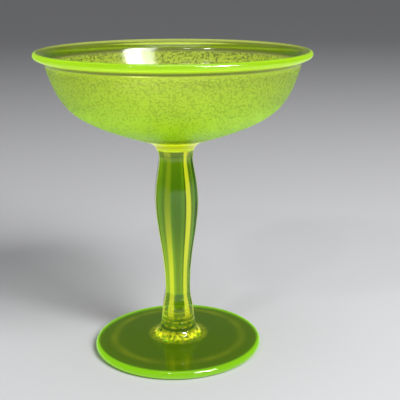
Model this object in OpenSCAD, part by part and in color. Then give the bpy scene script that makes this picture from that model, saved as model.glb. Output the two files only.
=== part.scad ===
// Stemmed saucer glass: a stippled bowl with a turned-out lip, an eight-panelled baluster stem
// and a round foot. Five gathers of glass are fused end to end, each on a flat round seat.
// Millimetres, +Z up. The origin is the middle of the plane that the foot rests on.

/* [Overall] */
// Height from the table to the top of the rim
glass_h = 124; // [116:1:132]
// Diameter across the rim bead
rim_d = 108; // [102:1:114]
// Diameter of the foot
foot_d = 69.5; // [62:0.5:78]

/* [Bowl] */
// Height of the bowl, from its seat on the collar to the top of the rim
bowl_h = 35; // [32:0.5:38]
// Diameter of the seat that joins the bowl to its collar
bowl_seat_d = 26.4; // [24:0.2:30]
// Thickness of the side wall
wall_t = 2.1; // [1.6:0.1:2.6]
// Thickness of glass in the middle of the bottom
bottom_t = 4; // [3:0.1:5]
// Radius of the rolled bead round the rim
bead_r = 1.3; // [1:0.05:1.5]
// How far the lip turns out past the wall
lip_out = 4.3; // [3.5:0.1:5]
// Height of the turned-out lip
lip_h = 4.4; // [4:0.1:5]

/* [Stem] */
// Number of panels round the stem
panels = 8; // [6:1:10]
// Turn of the front panel about the axis, in degrees
panel_turn = 5; // [0:1:20]
// Diameter of the round top end
stem_top_d = 15; // [14:0.1:16]
// Width across the panels at the neck
neck_w = 13.3; // [12:0.1:14]
// Width across the panels at the swell
swell_w = 17.2; // [15:0.1:20]
// Width across the panels at the waist
waist_w = 10.1; // [9:0.1:12]
// Diameter of the round bottom end
stem_bottom_d = 12.8; // [12:0.1:14]
// Radius that softens each edge between two panels
edge_r = 0.8; // [0.4:0.1:1.2]

/* [Collars and foot] */
// Height of the collar under the bowl
bowl_collar_h = 4.5; // [4:0.1:6]
// Height of the flare on the foot
foot_collar_h = 12.1; // [11:0.1:13]
// Diameter of the seat that joins the flare to the foot
foot_seat_d = 23; // [21:0.5:27]
// Height of the foot at that seat
foot_h = 4.9; // [4.4:0.1:5.6]
// Thickness of the foot's rounded edge
foot_edge_t = 3.5; // [3:0.1:4]
// Depth of the hollow under the foot
hollow_h = 0.9; // [0.5:0.1:1.5]
// Width of the flat ring that the foot rests on
rest_w = 6; // [4:0.5:8]

/* [Hidden] */

// Levels, from the foot up
stem_z0 = foot_h + foot_collar_h;
bowl_z0 = glass_h - bowl_h;
stem_z1 = bowl_z0 - bowl_collar_h;
stem_h = stem_z1 - stem_z0;

// Heights of the stem's narrow and wide places, as parts of its length
waist_at = 0.11;
swell_at = 0.69;
neck_at = 0.95;
// How early the stem swells above the waist, and narrows above the swell
swell_lag = 1.2;
neck_lag = 0.75;
// How sharply the stem's ends widen
bottom_rise = 1.3;
top_rise = 1.9;
// Length over which the panels melt into each round end
melt_h = 2;

// The bead's centre and the corner where the wall turns into the lip
bead_x = rim_d / 2 - bead_r;
bead_z = glass_h - bead_r;
corner_x = rim_d / 2 - lip_out;
corner_z = glass_h - lip_h;
// Directions on the bead where the lip's lower and upper faces meet it
bead_low = -60;
bead_high = 120;

curve_steps = 12;
arc_steps = 12;
stem_rings = 40;
edge_steps = 3;
$fn = 96;

green = [0.62, 0.86, 0.12, 0.75];
pale_green = [0.68, 0.84, 0.30, 0.75];

// A point on the cubic curve through p[0] and p[3], drawn towards p[1] and p[2]
function curve_at(p, t) =
    pow(1 - t, 3) * p[0] + 3 * pow(1 - t, 2) * t * p[1] + 3 * (1 - t) * t * t * p[2] + t * t * t * p[3];

function curve(p, steps = curve_steps) = [for (i = [0:steps]) curve_at(p, i / steps)];

function arc(centre, r, from, to) =
    [for (i = [0:arc_steps]) let (a = from + (to - from) * i / arc_steps) centre + r * [cos(a), sin(a)]];

function mix(a, b, t) = a + (b - a) * t;

function smooth(t) = t * t * (3 - 2 * t);

// Half the stem's width across its panels, at u along its length
function stem_half(u) =
    u < waist_at ? mix(waist_w, stem_bottom_d, pow(1 - u / waist_at, bottom_rise)) / 2 :
    u < swell_at ? mix(waist_w, swell_w, smooth(pow((u - waist_at) / (swell_at - waist_at), swell_lag))) / 2 :
    u < neck_at ? mix(neck_w, swell_w, smooth(pow((neck_at - u) / (neck_at - swell_at), neck_lag))) / 2 :
    mix(neck_w, stem_top_d, pow((u - neck_at) / (1 - neck_at), top_rise)) / 2;

// Radius of the panels' edges: small along the stem, and the whole half width at its round ends
function edge_radius(u) =
    mix(stem_half(u), edge_r, smooth(min(1, min(u, 1 - u) * stem_h / melt_h)));

// One ring of the stem: a rounded regular polygon that becomes a circle as its edge radius grows
function stem_ring(u) =
    let (half = stem_half(u), r = edge_radius(u), reach = (half - r) / cos(180 / panels))
    [for (k = [0:panels - 1], j = [0:edge_steps])
        let (corner = (k + 0.5) * 360 / panels + panel_turn - 90, a = corner + (j / edge_steps - 0.5) * 360 / panels)
        [reach * cos(corner) + r * cos(a), reach * sin(corner) + r * sin(a), stem_z0 + u * stem_h]];

// Ring places along the stem, closer together near both ends
function ring_at(i) = mix(i / stem_rings, (1 - cos(180 * i / stem_rings)) / 2, 0.6);

module turned(outline) {
    rotate_extrude() polygon(outline);
}

module bowl() {
    low_lip = bead_r * [cos(bead_low), sin(bead_low)] + [bead_x, bead_z];
    high_lip = bead_r * [cos(bead_high), sin(bead_high)] + [bead_x, bead_z];
    corner = [corner_x, corner_z];
    inner_corner = [corner_x - wall_t, corner_z];
    underside = curve([
        [bowl_seat_d / 2, bowl_z0],
        [0.82 * corner_x, bowl_z0 + 0.30 * (corner_z - bowl_z0)],
        [0.89 * corner_x, bowl_z0 + 0.40 * (corner_z - bowl_z0)],
        corner
    ], 2 * curve_steps);
    lip_under = curve([corner, corner + [0.6, 0.7], low_lip - [1.3, 0.7], low_lip]);
    lip_over = curve([high_lip, high_lip - [2.2, 1], inner_corner + [0.5, 1.9], inner_corner]);
    inside = curve([
        inner_corner,
        inner_corner - [4.6, 17.8],
        [0.71 * inner_corner[0], bowl_z0 + bottom_t + 1.5],
        [0, bowl_z0 + bottom_t]
    ], 2 * curve_steps);
    color(pale_green)
        turned(concat([[0, bowl_z0]], underside, lip_under, arc([bead_x, bead_z], bead_r, bead_low, bead_high),
            lip_over, inside));
}

module bowl_collar() {
    top_x = bowl_seat_d / 2;
    side = curve([
        [stem_top_d / 2, stem_z1],
        [stem_top_d / 2 + 0.5, stem_z1 + 0.4 * bowl_collar_h],
        [top_x - 3, bowl_z0 - 1],
        [top_x, bowl_z0]
    ]);
    color(green)
        turned(concat([[0, stem_z1]], side, [[0, bowl_z0]]));
}

module stem() {
    n = panels * (edge_steps + 1);
    points = [for (i = [0:stem_rings]) each stem_ring(ring_at(i))];
    sides = [for (i = [0:stem_rings - 1], j = [0:n - 1])
        [i * n + j, (i + 1) * n + j, (i + 1) * n + (j + 1) % n, i * n + (j + 1) % n]];
    bottom_face = [for (j = [0:n - 1]) j];
    top_face = [for (j = [0:n - 1]) stem_rings * n + n - 1 - j];
    color(green)
        polyhedron(points, concat([bottom_face, top_face], sides));
}

module foot_collar() {
    seat_x = foot_seat_d / 2;
    side = curve([
        [seat_x, foot_h],
        [seat_x - 3.9, foot_h + 0.01 * foot_collar_h],
        [stem_bottom_d / 2 + 0.9, foot_h + 0.31 * foot_collar_h],
        [stem_bottom_d / 2, stem_z0]
    ]);
    color(green)
        turned(concat([[0, foot_h]], side, [[0, stem_z0]]));
}

module foot() {
    edge_x = foot_d / 2 - foot_edge_t / 2;
    rest_x = edge_x - rest_w;
    hollow = curve([[0, hollow_h], [0.45 * rest_x, hollow_h], [0.75 * rest_x, 0], [rest_x, 0]]);
    top = curve([
        [edge_x, foot_edge_t],
        [0.78 * edge_x, foot_edge_t + 0.25],
        [foot_seat_d / 2 + 3, foot_h - 0.4],
        [foot_seat_d / 2, foot_h]
    ]);
    color(green)
        turned(concat(hollow, arc([edge_x, foot_edge_t / 2], foot_edge_t / 2, -90, 90), top, [[0, foot_h]]));
}

bowl();
bowl_collar();
stem();
foot_collar();
foot();
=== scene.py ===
"""Stemmed saucer glass in yellow-green pressed glass.

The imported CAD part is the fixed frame. Two finer closed meshes on its outline show its five solids: the
stippled bowl, and the collar, panelled stem, flare and foot in one unbroken skin. Lengths are in millimetres
until a mesh is made, and heights and radii come from the frame.
"""
import math
import random

import bpy
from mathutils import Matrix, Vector, kdtree, noise


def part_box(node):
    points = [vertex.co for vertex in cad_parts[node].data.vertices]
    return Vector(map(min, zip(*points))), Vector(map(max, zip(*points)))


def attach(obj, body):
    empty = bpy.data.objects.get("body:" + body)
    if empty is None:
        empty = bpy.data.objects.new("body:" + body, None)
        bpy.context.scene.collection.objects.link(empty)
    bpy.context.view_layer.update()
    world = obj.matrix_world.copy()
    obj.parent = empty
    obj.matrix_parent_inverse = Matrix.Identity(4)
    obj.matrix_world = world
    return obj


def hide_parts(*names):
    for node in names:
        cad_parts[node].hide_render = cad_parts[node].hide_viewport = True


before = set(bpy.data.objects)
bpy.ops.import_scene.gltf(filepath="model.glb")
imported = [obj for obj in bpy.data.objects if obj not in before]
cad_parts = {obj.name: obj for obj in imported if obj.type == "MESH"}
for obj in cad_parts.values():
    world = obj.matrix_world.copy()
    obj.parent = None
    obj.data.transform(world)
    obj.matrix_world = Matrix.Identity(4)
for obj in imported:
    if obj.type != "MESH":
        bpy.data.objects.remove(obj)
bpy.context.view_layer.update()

MM = 0.001


def levels_of(node):
    """Lowest and highest level of a CAD node, and its largest radius, in millimetres."""
    low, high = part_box(node)
    return low.z / MM, high.z / MM, high.x / MM


# Levels and radii, from the frame
_, FOOT_Z1, FOOT_R = levels_of("foot")
FLARE_Z0, FLARE_Z1, FLARE_R = levels_of("foot_collar")
STEM_Z0, STEM_Z1, _ = levels_of("stem")
COLLAR_Z0, COLLAR_Z1, COLLAR_R = levels_of("bowl_collar")
BOWL_Z0, RIM_Z, RIM_R = levels_of("bowl")

# Shape of the bowl, as in the CAD part
WALL = 2.1
BOTTOM = 4.0
BEAD_R = 1.3
LIP_OUT = 4.3
LIP_H = 4.4
# Directions on the bead where the lip's lower and upper faces meet it, in degrees
BEAD_LOW = -60
BEAD_HIGH = 120

# Shape of the stem, as in the CAD part
PANELS = 8
PANEL_TURN = 5.0
STEM_TOP_R = 7.5
NECK_R = 6.65
SWELL_R = 8.6
WAIST_R = 5.05
STEM_BOTTOM_R = 6.4
EDGE_R = 0.8
MELT_H = 2.0
WAIST_AT = 0.11
SWELL_AT = 0.69
NECK_AT = 0.95
SWELL_LAG = 1.2
NECK_LAG = 0.75
BOTTOM_RISE = 1.3
TOP_RISE = 1.9

# Shape of the foot, as in the CAD part
EDGE_T = 3.5
HOLLOW_H = 0.9
REST_W = 6.0
# Painted pale ring of light on the foot's top, over the edge of the hollow underneath
ARCS_R = 27
ARCS_W = 2.6
ARCS_GLOW = 0.13
ARCS_PATCH = 7

# Faint rings in the flare, and how far its radius wanders, as a share of it
RIPPLE_H = 0.11
RIPPLE_PITCH = 2.0
FLARE_DENTS = 0.016
DENT_SIZE = 2.4

# Fineness of the stem's rings: steps over a panel edge and each side of it, and the half angle of an edge
EDGE_STEPS = 12
FLAT_STEPS = 12
EDGE_SPAN = 3.6
STEM_ROWS = 130
# Fineness of the bowl: distance between stippled rings, and points round a ring outside and inside SPLIT_R.
# Smooth rings have the smaller number.
BOWL_STEP = 0.48
FINE_COUNT = 640
COARSE_COUNT = 320
SPLIT_R = 30.0

# Colour that the glass keeps, and how dense it is, per metre
TINT = (0.85, 0.91, 0.0)
GLASS_IOR = 1.5
BOWL_DENSITY = 600
STEM_DENSITY = 850
# Painted glow of the glass in its parts: an emission that stands in for light trapped in the glass and
# leaving by the edges, so the edges are painted brightest.
WALL_GLOW = (0.09, 0.12, 0.002)
THICK_GLOW = (0.14, 0.21, 0.001)
BOTTOM_GLOW = (0.38, 0.50, 0.001)
# Distance past the collar over which the bottom's painted glow turns into that of thick glass
BOTTOM_FADE = 9
LIP_GLOW = (0.03, 0.045, 0.001)
# Painted pool of light in the bottom of the bowl, over the stem, and how far out it reaches
POOL_GLOW = (0.12, 0.18, 0.001)
POOL_R = 16
RIM_GLOW = (0.34, 0.55, 0.008)
STEM_GLOW = (0.012, 0.035, 0.001)
STEM_EDGE_GLOW = (0.46, 0.46, 0.01)
FOOT_GLOW = (0.035, 0.065, 0.002)
FOOT_EDGE_GLOW = (0.22, 0.52, 0.005)
# Where the painted glow of the foot's edge starts, inwards from the edge, and the width over which it grows
EDGE_GLOW_IN = 1.9
EDGE_GLOW_W = 1.4
# Painted glow on the foot round the flare: its share, width and size of its patches
ROUND_FLARE_GLOW = 0.25
ROUND_FLARE_W = 1.5
ROUND_FLARE_PATCH = 1.8
# Size and strength of the painted bright patches on the flare, painted glints of light
FLARE_PATCH = 1.3
FLARE_PATCHES = 2.0
# Painted stripe of light beside each of the stem's edges, standing in for light refracted through the panels:
# strength at the foot and at the neck, and width in degrees, which is multiplied by the first value of
# STRIPE_SPREAD at the stem's foot and by the second at its top
EDGE_STRIPES = [
    (1.1, 1.2, 18), (0.8, 0.5, 8), (0.6, 0.3, 12), (0.4, 0.6, 8),
    (0.7, 0.4, 14), (0.5, 0.5, 8), (0.9, 0.5, 9), (1.0, 0.25, 18),
]
STRIPE_SPREAD = (1.7, 0.8)
# Heights between which the painted glow of the bowl's underside turns from that of thick glass to that of the
# wall
THICK_FROM = 104.6
THICK_TO = 102.4

# Gap between two fused faces, so that each piece stays closed
JOINT_GAP = 0.02
# Pebbles of the stipple: spacing, greatest height, distance between rows and scatter as shares of the
# spacing, and the seed of their places
PEBBLE = 1.25
PEBBLE_H = 0.32
PEBBLE_ROW = 0.86
PEBBLE_SCATTER = 0.33
PEBBLE_SEED = 7
# Distances over which the stipple fades in above the collar and out below the lip
FADE_IN = 1.2
FADE_OUT = 2.2
# Share of the painted glow in a crease and on a crown, seen from outside and from inside the bowl: painted
# glints on the crowns
OUTSIDE_GLOW = (0.35, 1.15)
INSIDE_GLOW = (0.4, 5.2)
# Painted shade in the creases: share of the light that a crease and a crown let through, out of the bowl and
# into it
OUTSIDE_CREASE_SHADE = (0.60, 1.0)
INSIDE_CREASE_SHADE = (0.34, 1.0)
# Finer grain on the pebbles, per metre, its depth, and the range of its pattern from crown to crease, over
# which the painted glow and shade change
GRAIN_SCALE = 1150
GRAIN_DEPTH = 0.20
GRAIN_RANGE = (0.2, 0.72)
# Slow waves in every surface, per metre, and their height
WAVES_SCALE = 180
WAVES_H = 0.03
STIPPLE_ROUGHNESS = 0.28
INSIDE_ROUGHNESS = 0.13
# Share of the rim's painted glow that shows from inside the glass
INNER_GLOW = 0.1

# Camera: place in metres, angle down, turn to the right, focal length and sideways shift
CAMERA_AT = (0, -0.3268, 0.1537)
CAMERA_DOWN = 15.49
CAMERA_TURN = 3.42
LENS = 74.6
LENS_SHIFT = -0.06
# Lights: name, azimuth, elevation, distance, width, height and power
LIGHTS = [
    ("window_pane_1", 28, 37, 1.2, 0.2, 0.7, 6.0),
    ("window_pane_2", 40, 37, 1.2, 0.2, 0.7, 12.0),
    ("window_pane_3", 50.5, 37, 1.2, 0.17, 0.7, 10.0),
    ("overhead", 0, 78, 0.9, 0.5, 0.5, 1.6),
    ("overhead_back", 180, 80, 0.9, 0.5, 0.5, 0.7),
    ("lamp_left", -39, 40, 1.3, 0.10, 0.10, 2.5),
    ("lamp_front", -15, 42, 1.3, 0.06, 0.06, 1.2),
]
FLOOR_COLOUR = (0.43, 0.43, 0.44, 1)


# ---------------------------------------------------------------- curves and outlines

def mix(a, b, t):
    return a + (b - a) * t


def smooth(t):
    t = min(1.0, max(0.0, t))
    return t * t * (3 - 2 * t)


def mix_colour(a, b, t):
    return tuple(mix(p, q, t) for p, q in zip(a, b))


def curve(p, steps):
    """Points on the cubic curve through p[0] and p[3], drawn towards p[1] and p[2]."""
    points = []
    for i in range(steps + 1):
        t = i / steps
        s = 1 - t
        weights = (s ** 3, 3 * s * s * t, 3 * s * t * t, t ** 3)
        points.append(tuple(sum(w * q[k] for w, q in zip(weights, p)) for k in (0, 1)))
    return points


def arc(x, z, r, start, end, steps):
    """Points on an arc about (x, z), from angle start to angle end, in degrees."""
    angles = [math.radians(mix(start, end, i / steps)) for i in range(steps + 1)]
    return [(x + r * math.cos(a), z + r * math.sin(a)) for a in angles]


def evenly(points, spacing):
    """The same line with its points about spacing apart."""
    lengths = [0.0]
    for a, b in zip(points, points[1:]):
        lengths.append(lengths[-1] + math.dist(a, b))
    count = max(2, round(lengths[-1] / spacing))
    even = []
    k = 0
    for i in range(count + 1):
        target = lengths[-1] * i / count
        while k < len(points) - 2 and lengths[k + 1] < target:
            k += 1
        t = (target - lengths[k]) / (lengths[k + 1] - lengths[k])
        even.append(tuple(mix(a, b, t) for a, b in zip(points[k], points[k + 1])))
    return even


# ---------------------------------------------------------------- meshes

def finish_piece(name, skin, material):
    """A closed mesh made from a skin. Faces numbered in its caps are fused to the next piece."""
    caps = skin.caps
    mesh = bpy.data.meshes.new(name)
    mesh.from_pydata([Vector(v) * MM for v in skin.vertices], [], skin.faces)
    mesh.polygons.foreach_set("use_smooth", [True] * len(mesh.polygons))
    stipple = mesh.attributes.new("stipple", "FLOAT", "POINT")
    stipple.data.foreach_set("value", skin.stipple)
    # Painted glow, one colour for each face corner, and none on the fused faces
    glow = mesh.attributes.new("glow", "FLOAT_COLOR", "CORNER")
    colours = []
    for face in mesh.polygons:
        for v in face.vertices:
            colours += (0.0, 0.0, 0.0, 1.0) if face.index in caps else (*skin.glow[v], 1.0)
    glow.data.foreach_set("color", colours)
    fused = mesh.attributes.new("fused", "FLOAT", "FACE")
    fused.data.foreach_set("value", [1.0 if i in caps else 0.0 for i in range(len(mesh.polygons))])
    mark_cap_rims(mesh, caps)
    mesh.materials.append(material)
    piece = bpy.data.objects.new(name, mesh)
    bpy.context.scene.collection.objects.link(piece)
    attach(piece, "root")
    return piece


def mark_cap_rims(mesh, caps):
    """Makes the rim of each fused face a sharp edge, so that shading doesn't bend round it."""
    rim = set()
    for i in caps:
        rim ^= {tuple(sorted(key)) for key in mesh.polygons[i].edge_keys}
    sharp = mesh.attributes.new("sharp_edge", "BOOLEAN", "EDGE")
    sharp.data.foreach_set("value", [tuple(sorted(e.vertices)) in rim for e in mesh.edges])


class Builder:
    """Collects rings of points about the axis and joins them into one closed skin."""

    def __init__(self):
        self.vertices = []
        self.faces = []
        self.caps = set()
        self.stipple = []
        self.glow = []
        self.last = None

    def add_points(self, points, glow, stipple=0.0):
        """Adds points. glow is one colour, or one for each point."""
        start = len(self.vertices)
        self.vertices.extend(points)
        self.stipple.extend([stipple] * len(points))
        self.glow.extend(glow if isinstance(glow, list) else [glow] * len(points))
        return list(range(start, start + len(points)))

    def ring(self, points, glow, stipple=0.0):
        """Adds a ring and joins it to the last one, which has as many points, or half or twice as many."""
        new = self.add_points(points, glow, stipple)
        if self.last is not None:
            self.join(self.last, new)
        self.last = new

    def join(self, a, b):
        n, m = len(a), len(b)
        for i in range(max(n, m) if n == m else min(n, m)):
            if n == m:
                j = (i + 1) % n
                self.faces.append((a[i], a[j], b[j], b[i]))
            elif m == 2 * n:
                j = (i + 1) % n
                self.faces.append((a[i], b[2 * i + 1], b[2 * i]))
                self.faces.append((a[i], a[j], b[2 * i + 1]))
                self.faces.append((a[j], b[(2 * i + 2) % m], b[2 * i + 1]))
            else:
                j = (i + 1) % m
                self.faces.append((a[2 * i], a[2 * i + 1], b[i]))
                self.faces.append((a[2 * i + 1], b[j], b[i]))
                self.faces.append((a[2 * i + 1], a[(2 * i + 2) % n], b[j]))

    def cap(self, point, upward, fused, glow):
        """Closes the last ring to one point on the axis."""
        centre = self.add_points([point], glow)[0]
        ring = self.last
        for i, v in enumerate(ring):
            w = ring[(i + 1) % len(ring)]
            if fused:
                self.caps.add(len(self.faces))
            self.faces.append((v, w, centre) if upward else (w, v, centre))
        self.last = None

    def open_cap(self, point, points, fused, glow):
        """Starts a skin: one point on the axis and the first ring round it, facing down."""
        self.ring(points, glow)
        first = self.last
        self.cap(point, False, fused, glow)
        self.last = first


def circle(r, z, count):
    angles = [2 * math.pi * i / count for i in range(count)]
    return [(r * math.cos(a), r * math.sin(a), z) for a in angles]


# ---------------------------------------------------------------- bowl

def pebble_field(outline):
    """Middles of the pebbles, scattered in uneven rings over the bowl's outside, and the size of each."""
    rng = random.Random(PEBBLE_SEED)
    spots = []
    for x, z in evenly(outline, PEBBLE * PEBBLE_ROW):
        count = max(8, round(2 * math.pi * x / PEBBLE))
        turn = rng.random()
        for i in range(count):
            a = 2 * math.pi * (i + turn + rng.uniform(-PEBBLE_SCATTER, PEBBLE_SCATTER)) / count
            slip = rng.uniform(-PEBBLE_SCATTER, PEBBLE_SCATTER) * PEBBLE
            spots.append(Vector((x * math.cos(a), x * math.sin(a), z + slip)))
    tree = kdtree.KDTree(len(spots))
    for i, spot in enumerate(spots):
        tree.insert(spot, i)
    tree.balance()
    return tree, [rng.random() for _ in spots]


def pebble_height(field, point):
    """Height of the stipple at a point, 0 to 1: round-topped pebbles with creases between them."""
    tree, sizes = field
    (_, k, near), (_, _, far) = tree.find_n(point, 2)
    crown = 1 - min(1.0, near / (0.75 * PEBBLE)) ** 2
    crease = smooth(min(1.0, (far - near) / (0.5 * PEBBLE)))
    return (0.45 * crown + 0.55 * crease) * (0.6 + 0.4 * sizes[k])


def on_bead(bead, angle):
    """The point on the rim's bead in a direction, in degrees."""
    a = math.radians(angle)
    return bead[0] + BEAD_R * math.cos(a), bead[1] + BEAD_R * math.sin(a)


def bowl_outlines(corner, bead):
    """Outlines of the bowl: outside, under the lip, round the bead, over the lip and inside."""
    inner_corner = (corner[0] - WALL, corner[1])
    low_lip = on_bead(bead, BEAD_LOW)
    high_lip = on_bead(bead, BEAD_HIGH)
    rise = corner[1] - BOWL_Z0
    outside = curve([
        (COLLAR_R, BOWL_Z0 + JOINT_GAP / 2),
        (0.82 * corner[0], BOWL_Z0 + 0.30 * rise),
        (0.89 * corner[0], BOWL_Z0 + 0.40 * rise),
        corner,
    ], 160)
    lip_under = curve([
        corner,
        (corner[0] + 0.6, corner[1] + 0.7),
        (low_lip[0] - 1.3, low_lip[1] - 0.7),
        low_lip,
    ], 8)
    rim = arc(bead[0], bead[1], BEAD_R, BEAD_LOW, BEAD_HIGH, 18)
    lip_over = curve([
        high_lip,
        (high_lip[0] - 2.2, high_lip[1] - 1.0),
        (inner_corner[0] + 0.5, inner_corner[1] + 1.9),
        inner_corner,
    ], 12)
    inside = curve([
        inner_corner,
        (inner_corner[0] - 4.6, inner_corner[1] - 17.8),
        (0.71 * inner_corner[0], BOWL_Z0 + BOTTOM + 1.5),
        (0.0, BOWL_Z0 + BOTTOM),
    ], 40)
    return outside, lip_under, rim, lip_over, inside


def pebbled_ring(x, z, out, fade, field):
    """A ring of the bowl's outside, lifted by its pebbles along out."""
    ring = []
    for p in circle(x, z, FINE_COUNT if x > SPLIT_R else COARSE_COUNT):
        lift = PEBBLE_H * fade * pebble_height(field, Vector(p))
        spread = 1 + lift * out[0] / x
        ring.append((p[0] * spread, p[1] * spread, p[2] + lift * out[1]))
    return ring


def add_outside(skin, outside):
    """The stippled outside of the bowl, from its fused seat up to the corner under the lip."""
    stippled = evenly(outside, BOWL_STEP)
    field = pebble_field(outside)
    total = len(stippled) - 1
    for i, (x, z) in enumerate(stippled):
        before = stippled[max(0, i - 1)]
        after = stippled[min(total, i + 1)]
        along = Vector((after[0] - before[0], after[1] - before[1])).normalized()
        fade = smooth(i * BOWL_STEP / FADE_IN) * smooth((total - i) * BOWL_STEP / FADE_OUT)
        ring = pebbled_ring(x, z, (along.y, -along.x), fade, field)
        # Painted glow: strongest over the collar, then that of thick glass, then that of the thinner wall
        wall = smooth((z - THICK_TO) / (THICK_FROM - THICK_TO))
        base = mix_colour(BOTTOM_GLOW, THICK_GLOW, smooth((x - COLLAR_R) / BOTTOM_FADE))
        if i == 0:
            skin.open_cap((0.0, 0.0, z), ring, True, base)
        else:
            skin.ring(ring, mix_colour(base, WALL_GLOW, wall), fade)


def make_bowl(material):
    corner = (RIM_R - LIP_OUT, RIM_Z - LIP_H)
    bead = (RIM_R - BEAD_R, RIM_Z - BEAD_R)
    outside, lip_under, rim, lip_over, inside = bowl_outlines(corner, bead)
    skin = Builder()
    add_outside(skin, outside)
    # Painted glow of the lip and rim, brightest towards the outer side of the bead
    for x, z in lip_under[1:]:
        bright = smooth((x - corner[0]) / LIP_OUT * 2 - 0.5)
        skin.ring(circle(x, z, COARSE_COUNT), mix_colour(LIP_GLOW, RIM_GLOW, bright))
    for x, z in rim[1:]:
        bright = smooth((x - bead[0]) / BEAD_R + 0.4)
        skin.ring(circle(x, z, COARSE_COUNT), mix_colour(LIP_GLOW, RIM_GLOW, bright))
    # Painted pool of light in the bottom of the bowl, turning into the lip's painted glow further out
    for x, z in lip_over[1:] + inside[1:-1]:
        skin.ring(circle(x, z, COARSE_COUNT), mix_colour(POOL_GLOW, LIP_GLOW, smooth(x / POOL_R)))
    skin.cap((0.0, 0.0, inside[-1][1]), True, False, POOL_GLOW)
    piece = finish_piece("stippled_bowl", skin, material)
    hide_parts("bowl")
    return piece


# ---------------------------------------------------------------- stem and foot

def ring_angles():
    """Angles of a ring's points, closer together at the edges between the stem's panels."""
    half_panel = 180 / PANELS
    offsets = [mix(-half_panel, -EDGE_SPAN, i / FLAT_STEPS) for i in range(FLAT_STEPS)]
    offsets += [mix(-EDGE_SPAN, EDGE_SPAN, i / EDGE_STEPS) for i in range(EDGE_STEPS)]
    offsets += [mix(EDGE_SPAN, half_panel, i / FLAT_STEPS) for i in range(FLAT_STEPS)]
    corners = [(k + 0.5) * 2 * half_panel + PANEL_TURN - 90 for k in range(PANELS)]
    return [(math.radians(corner + offset), math.radians(offset)) for corner in corners for offset in offsets]


def turned_ring(r, z):
    return [(r * math.cos(a), r * math.sin(a), z) for a, _ in ring_angles()]


def hollow_and_edge():
    """Outline of the foot, from the middle of its underside, round the edge, up to the flare."""
    edge_x = FOOT_R - EDGE_T / 2
    rest_x = edge_x - REST_W
    hollow = curve([(0.0, HOLLOW_H), (0.45 * rest_x, HOLLOW_H), (0.75 * rest_x, 0.0), (rest_x, 0.0)], 20)
    edge = arc(edge_x, EDGE_T / 2, EDGE_T / 2, -90, 90, 20)
    top = curve([
        (edge_x, EDGE_T),
        (0.78 * edge_x, EDGE_T + 0.25),
        (FLARE_R + 3, FOOT_Z1 - 0.4),
        (FLARE_R, FOOT_Z1),
    ], 28)
    return hollow[1:] + edge + top[1:]


def flare():
    """Outline of the flare between the foot and the stem, with the faint rings left by the tool."""
    height = FLARE_Z1 - FLARE_Z0
    side = curve([
        (FLARE_R, FLARE_Z0),
        (FLARE_R - 3.9, FLARE_Z0 + 0.01 * height),
        (STEM_BOTTOM_R + 0.9, FLARE_Z0 + 0.31 * height),
        (STEM_BOTTOM_R, FLARE_Z1),
    ], 160)
    ringed = []
    for x, z in evenly(side, 0.22)[1:]:
        u = (z - FLARE_Z0) / height
        fade = smooth(u / 0.15) * smooth((1 - u) / 0.15)
        wave = math.sin(2 * math.pi * (z - FLARE_Z0) / RIPPLE_PITCH + 0.6)
        ringed.append((x + RIPPLE_H * fade * (wave - 1), z))
    return ringed


def flare_glow(z):
    """Share of the painted bright glow at a height on the flare: strong at its base, and along its faint
    rings.
    """
    u = (z - FLARE_Z0) / (FLARE_Z1 - FLARE_Z0)
    base = mix(0.25, 1.1, smooth((u - 0.01) / 0.05)) * (1 - smooth((u - 0.14) / 0.14))
    rings = 0.5 - 0.5 * math.cos(2 * math.pi * (z - FLARE_Z0) / RIPPLE_PITCH)
    return base + 0.45 * rings ** 2 * smooth((u - 0.15) / 0.2)


def uneven(point, size, amount=0.9):
    """Slow random change over a surface, about 1 and never below 0, in patches of a size."""
    return max(0.0, 1 + amount * noise.noise(Vector(point) / size))


def stem_half(u):
    """Half the stem's width across its panels, at u along its length."""
    if u < WAIST_AT:
        return mix(WAIST_R, STEM_BOTTOM_R, (1 - u / WAIST_AT) ** BOTTOM_RISE)
    if u < SWELL_AT:
        return mix(WAIST_R, SWELL_R, smooth(((u - WAIST_AT) / (SWELL_AT - WAIST_AT)) ** SWELL_LAG))
    if u < NECK_AT:
        return mix(NECK_R, SWELL_R, smooth(((NECK_AT - u) / (NECK_AT - SWELL_AT)) ** NECK_LAG))
    return mix(NECK_R, STEM_TOP_R, ((u - NECK_AT) / (1 - NECK_AT)) ** TOP_RISE)


def stem_ring(u, z):
    """A rounded octagon, which becomes a circle towards the stem's ends."""
    half = stem_half(u)
    from_end = min(u, 1 - u) * (STEM_Z1 - STEM_Z0)
    r = mix(half, EDGE_R, smooth(from_end / MELT_H))
    half_panel = math.pi / PANELS
    reach = (half - r) / math.cos(half_panel)
    round_to = math.atan2(r * math.sin(half_panel), reach + r * math.cos(half_panel))
    ring = []
    for a, offset in ring_angles():
        if abs(offset) < round_to:
            away = reach * math.cos(offset) + math.sqrt(r * r - (reach * math.sin(offset)) ** 2)
        else:
            away = half / math.cos(half_panel - abs(offset))
        ring.append((away * math.cos(a), away * math.sin(a), z))
    return ring


def stem_glow(u):
    """Shares of the painted bright glow round the stem: dark panels, with a painted light stripe on the outer
    side of each edge.
    """
    from_end = min(u, 1 - u) * (STEM_Z1 - STEM_Z0)
    ends = 0.5 * (1 - smooth(from_end / (2.5 * MELT_H)))
    shares = []
    angles = ring_angles()
    for i, (_, offset) in enumerate(angles):
        k = i * PANELS // len(angles)
        outward = math.degrees(offset) * (1 if k < PANELS / 2 else -1)
        low, high, width = EDGE_STRIPES[k]
        width *= mix(*STRIPE_SPREAD, u)
        stripe = smooth(1 + outward / EDGE_SPAN) * (1 - smooth((outward - 0.6 * width) / (0.4 * width)))
        stripe *= mix(low, high, smooth(1.6 * u - 0.3))
        shares.append(max(ends * (0.25 if outward < 0 else 1.0), stripe))
    return shares


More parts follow.
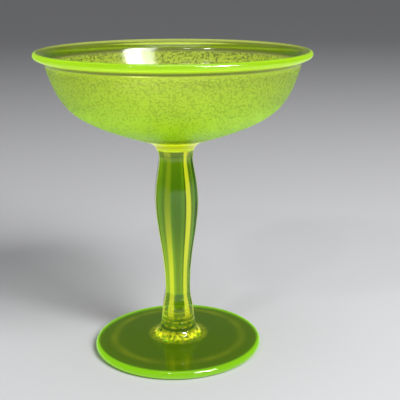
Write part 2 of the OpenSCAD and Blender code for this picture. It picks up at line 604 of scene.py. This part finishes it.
def bowl_collar():
    """Outline of the collar between the stem and the bowl."""
    height = COLLAR_Z1 - COLLAR_Z0
    return curve([
        (STEM_TOP_R, COLLAR_Z0),
        (STEM_TOP_R + 0.5, COLLAR_Z0 + 0.4 * height),
        (COLLAR_R - 3, COLLAR_Z1 - 1),
        (COLLAR_R, COLLAR_Z1 - JOINT_GAP / 2),
    ], 14)


def add_foot(skin):
    """The foot, from the middle of its underside, round the edge, up to the flare."""
    outline = hollow_and_edge()
    skin.open_cap((0.0, 0.0, HOLLOW_H), turned_ring(*outline[0]), False, FOOT_GLOW)
    for x, z in outline[1:]:
        # Painted glow: brighter towards the foot's edge, round the flare, and in a patchy ring over the edge
        # of the hollow
        on_top = z > EDGE_T
        at_edge = smooth((x - FOOT_R + EDGE_GLOW_IN) / EDGE_GLOW_W)
        at_flare = ROUND_FLARE_GLOW * (1 - smooth((x - FLARE_R) / ROUND_FLARE_W)) * on_top
        at_arcs = ARCS_GLOW * smooth(1 - abs(x - ARCS_R) / ARCS_W) * on_top
        base = mix_colour(FOOT_GLOW, FOOT_EDGE_GLOW, at_edge)
        ring = turned_ring(x, z)
        shares = [at_flare * uneven(p, ROUND_FLARE_PATCH) + at_arcs * uneven(p, ARCS_PATCH) for p in ring]
        skin.ring(ring, [mix_colour(base, STEM_EDGE_GLOW, share) for share in shares])


def add_flare(skin):
    """The flare, with its small dents, painted bright patches, and the stem's painted light stripes running
    down into it.
    """
    stripes = stem_glow(0)
    for x, z in flare()[:-1]:
        below_stem = smooth((z - FLARE_Z0) / (FLARE_Z1 - FLARE_Z0) / 0.35 - 1.6)
        bright = flare_glow(z)
        ring = []
        shares = []
        for p, stripe in zip(turned_ring(x, z), stripes):
            swell = mix(1.0, uneven(p, DENT_SIZE), FLARE_DENTS)
            dented = (p[0] * swell, p[1] * swell, z)
            ring.append(dented)
            shares.append(max(bright * uneven(dented, FLARE_PATCH, FLARE_PATCHES), below_stem * stripe))
        skin.ring(ring, [mix_colour(FOOT_GLOW, STEM_EDGE_GLOW, share) for share in shares])


def add_stem(skin):
    """The panelled stem, its rings closer together near both ends."""
    for i in range(STEM_ROWS + 1):
        u = mix(i / STEM_ROWS, (1 - math.cos(math.pi * i / STEM_ROWS)) / 2, 0.6)
        # Painted light stripes beside the panel edges, on dark panels
        glow = [mix_colour(STEM_GLOW, STEM_EDGE_GLOW, share) for share in stem_glow(u)]
        skin.ring(stem_ring(u, mix(STEM_Z0, STEM_Z1, u)), glow)


def make_stem_and_foot(material):
    """The stem with its collars and foot, in one unbroken skin as in the real glass."""
    skin = Builder()
    add_foot(skin)
    add_flare(skin)
    add_stem(skin)
    collar = bowl_collar()
    # The collar is painted with the bright glow of the stem's edges
    for x, z in collar[1:]:
        skin.ring(turned_ring(x, z), STEM_EDGE_GLOW)
    skin.cap((0.0, 0.0, collar[-1][1]), True, True, STEM_EDGE_GLOW)
    piece = finish_piece("panelled_stem_and_foot", skin, material)
    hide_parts("bowl_collar", "stem", "foot_collar", "foot")
    return piece


# ---------------------------------------------------------------- materials

def read_attribute(tree, name, output="Fac"):
    source = tree.nodes.new("ShaderNodeAttribute")
    source.attribute_name = name
    return source.outputs[output]


def remap(tree, value, at_zero, at_one, low=0.0, high=1.0):
    """A value between low and high, turned into one between at_zero and at_one."""
    ramp = tree.nodes.new("ShaderNodeMapRange")
    ramp.inputs["From Min"].default_value = low
    ramp.inputs["From Max"].default_value = high
    ramp.inputs["To Min"].default_value = at_zero
    ramp.inputs["To Max"].default_value = at_one
    tree.links.new(value, ramp.inputs["Value"])
    return ramp.outputs["Result"]


def mix_values(tree, share, a, b):
    """a where share is 0 and b where it is 1. a may be a number."""
    mixer = tree.nodes.new("ShaderNodeMix")
    tree.links.new(share, mixer.inputs["Factor"])
    if isinstance(a, float):
        mixer.inputs["A"].default_value = a
    else:
        tree.links.new(a, mixer.inputs["A"])
    tree.links.new(b, mixer.inputs["B"])
    return mixer.outputs["Result"]


def add_bump(tree, height, distance, under=None):
    """A bump of a height output, on top of another bump."""
    bump = tree.nodes.new("ShaderNodeBump")
    bump.inputs["Distance"].default_value = distance * MM
    bump.inputs["Strength"].default_value = 1.0
    tree.links.new(height, bump.inputs["Height"])
    if under:
        tree.links.new(under.outputs["Normal"], bump.inputs["Normal"])
    return bump


def glass(name, density):
    """Clear yellow-green glass, tinted by its depth, with slow surface waves and a painted glow, an emission
    taken from the mesh's glow colours.
    """
    material = bpy.data.materials.new(name)
    material.use_nodes = True
    material.cycles.emission_sampling = "NONE"
    tree = material.node_tree
    nodes, links = tree.nodes, tree.links
    shader = nodes["Principled BSDF"]
    shader.inputs["Transmission Weight"].default_value = 1.0
    shader.inputs["Base Color"].default_value = (1, 1, 1, 1)
    shader.inputs["Roughness"].default_value = 0.0
    shader.inputs["IOR"].default_value = GLASS_IOR
    shader.inputs["Emission Strength"].default_value = 1.0
    links.new(remap(tree, read_attribute(tree, "fused"), GLASS_IOR, 1.0), shader.inputs["IOR"])
    # Painted glow: the emission colour is read from the mesh
    links.new(read_attribute(tree, "glow", "Color"), shader.inputs["Emission Color"])

    waves = nodes.new("ShaderNodeTexNoise")
    waves.inputs["Scale"].default_value = WAVES_SCALE
    waves.inputs["Detail"].default_value = 4.0
    links.new(nodes.new("ShaderNodeTexCoord").outputs["Object"], waves.inputs["Vector"])
    bump = add_bump(tree, waves.outputs["Fac"], WAVES_H)
    bump.name = "surface_waves"
    links.new(bump.outputs["Normal"], shader.inputs["Normal"])

    volume = nodes.new("ShaderNodeVolumeAbsorption")
    volume.inputs["Color"].default_value = (*TINT, 1)
    volume.inputs["Density"].default_value = density
    links.new(volume.outputs["Volume"], nodes["Material Output"].inputs["Volume"])
    return material


def add_stipple(material):
    """Fine pebbles on the outside of the bowl: painted glow on the crowns, painted shade in the creases, and
    a rough skin.
    """
    tree = material.node_tree
    nodes, links = tree.nodes, tree.links
    shader = nodes["Principled BSDF"]
    stippled = read_attribute(tree, "stipple")
    cells = nodes.new("ShaderNodeTexVoronoi")
    cells.feature = "SMOOTH_F1"
    cells.inputs["Scale"].default_value = GRAIN_SCALE
    cells.inputs["Smoothness"].default_value = 0.3
    links.new(nodes.new("ShaderNodeTexCoord").outputs["Object"], cells.inputs["Vector"])
    crown = remap(tree, cells.outputs["Distance"], 1.0, 0.0, *GRAIN_RANGE)

    bump = add_bump(tree, cells.outputs["Distance"], -GRAIN_DEPTH, nodes["surface_waves"])
    links.new(stippled, bump.inputs["Strength"])
    links.new(bump.outputs["Normal"], shader.inputs["Normal"])
    links.new(remap(tree, stippled, INSIDE_ROUGHNESS, STIPPLE_ROUGHNESS), shader.inputs["Roughness"])

    # Painted shade in the creases and painted glow on the crowns, stronger where the glass is seen from
    # inside; the rim's painted glow shows little from inside
    backfacing = nodes.new("ShaderNodeNewGeometry").outputs["Backfacing"]
    crease_shade = mix_values(tree, backfacing, remap(tree, crown, *OUTSIDE_CREASE_SHADE), remap(tree, crown, *INSIDE_CREASE_SHADE))
    links.new(mix_values(tree, stippled, 1.0, crease_shade), shader.inputs["Base Color"])
    on_rim = remap(tree, backfacing, 1.0, INNER_GLOW)
    outer_glow = remap(tree, crown, *OUTSIDE_GLOW)
    inner_glow = remap(tree, crown, *INSIDE_GLOW)
    on_wall = mix_values(tree, backfacing, outer_glow, inner_glow)
    share = mix_values(tree, stippled, on_rim, on_wall)
    glow = nodes.new("ShaderNodeVectorMath")
    glow.operation = "SCALE"
    links.new(read_attribute(tree, "glow", "Color"), glow.inputs[0])
    links.new(share, glow.inputs["Scale"])
    links.new(glow.outputs["Vector"], shader.inputs["Emission Color"])


# ---------------------------------------------------------------- scene

def make_stage():
    """A pale round floor that curves up into a wall on every side, a hair below the foot."""
    floor_z = -0.0002
    radius = 4.0
    bend = 2.4
    top = 3.0
    bend_steps = 24
    count = 96
    profile = [(r, floor_z) for r in (0.2, 0.6, radius - bend)]
    for i in range(1, bend_steps + 1):
        a = math.radians(90 * i / bend_steps)
        profile.append((radius - bend + bend * math.sin(a), floor_z + bend - bend * math.cos(a)))
    profile.append((radius, top))
    vertices = [(0.0, 0.0, floor_z)]
    for r, z in profile:
        vertices += circle(r, z, count)
    faces = [(0, 1 + i, 1 + (i + 1) % count) for i in range(count)]
    for k in range(len(profile) - 1):
        a = 1 + k * count
        b = a + count
        faces += [(a + i, b + i, b + (i + 1) % count, a + (i + 1) % count) for i in range(count)]
    mesh = bpy.data.meshes.new("floor")
    mesh.from_pydata(vertices, [], faces)
    mesh.polygons.foreach_set("use_smooth", [True] * len(mesh.polygons))
    floor = bpy.data.objects.new("floor", mesh)
    bpy.context.scene.collection.objects.link(floor)
    material = bpy.data.materials.new("floor_paper")
    material.use_nodes = True
    shader = material.node_tree.nodes["Principled BSDF"]
    shader.inputs["Base Color"].default_value = FLOOR_COLOUR
    shader.inputs["Roughness"].default_value = 0.8
    shader.inputs["Specular IOR Level"].default_value = 0.2
    mesh.materials.append(material)


def add_light(name, azimuth, elevation, distance, width, height, power):
    """A soft rectangular light aimed at the glass. Azimuth is measured from -Y towards +X."""
    data = bpy.data.lights.new(name, "AREA")
    data.shape = "RECTANGLE"
    data.size = width
    data.size_y = height
    data.energy = power
    light = bpy.data.objects.new(name, data)
    a, e = math.radians(azimuth), math.radians(elevation)
    away = Vector((math.sin(a) * math.cos(e), -math.cos(a) * math.cos(e), math.sin(e)))
    target = Vector((0, 0, RIM_Z * MM * 0.7))
    light.location = target + away * distance
    light.rotation_mode = "QUATERNION"
    light.rotation_quaternion = away.to_track_quat("Z", "Y")
    light.visible_camera = False
    bpy.context.scene.collection.objects.link(light)


def make_lights():
    for light in LIGHTS:
        add_light(*light)
    world = bpy.data.worlds.new("studio")
    world.use_nodes = True
    world.node_tree.nodes["Background"].inputs["Color"].default_value = (0.95, 0.97, 1.0, 1)
    world.node_tree.nodes["Background"].inputs["Strength"].default_value = 0.2
    bpy.context.scene.world = world


def make_camera():
    """The camera stands close, a little above the rim, and looks down at the glass."""
    data = bpy.data.cameras.new("camera")
    data.lens = LENS
    data.sensor_width = 36.0
    data.shift_x = LENS_SHIFT
    data.clip_start = 0.01
    camera = bpy.data.objects.new("camera", data)
    camera.location = CAMERA_AT
    camera.rotation_euler = (math.radians(90 - CAMERA_DOWN), 0, math.radians(-CAMERA_TURN))
    bpy.context.scene.collection.objects.link(camera)
    bpy.context.scene.camera = camera


def set_light_paths():
    """Enough bounces for light to cross both walls of the bowl and turn inside the stem."""
    cycles = bpy.context.scene.cycles
    cycles.max_bounces = 24
    cycles.transmission_bounces = 24
    cycles.glossy_bounces = 12
    cycles.diffuse_bounces = 4
    cycles.transparent_max_bounces = 16
    cycles.sample_clamp_indirect = 4.0
    cycles.caustics_reflective = False
    cycles.caustics_refractive = False
    cycles.use_denoising = True
    bpy.context.scene.view_settings.view_transform = "Standard"


make_camera()
bowl_glass = glass("stippled_green_glass", BOWL_DENSITY)
add_stipple(bowl_glass)
make_bowl(bowl_glass)
make_stem_and_foot(glass("plain_green_glass", STEM_DENSITY))
make_stage()
make_lights()
set_light_paths()
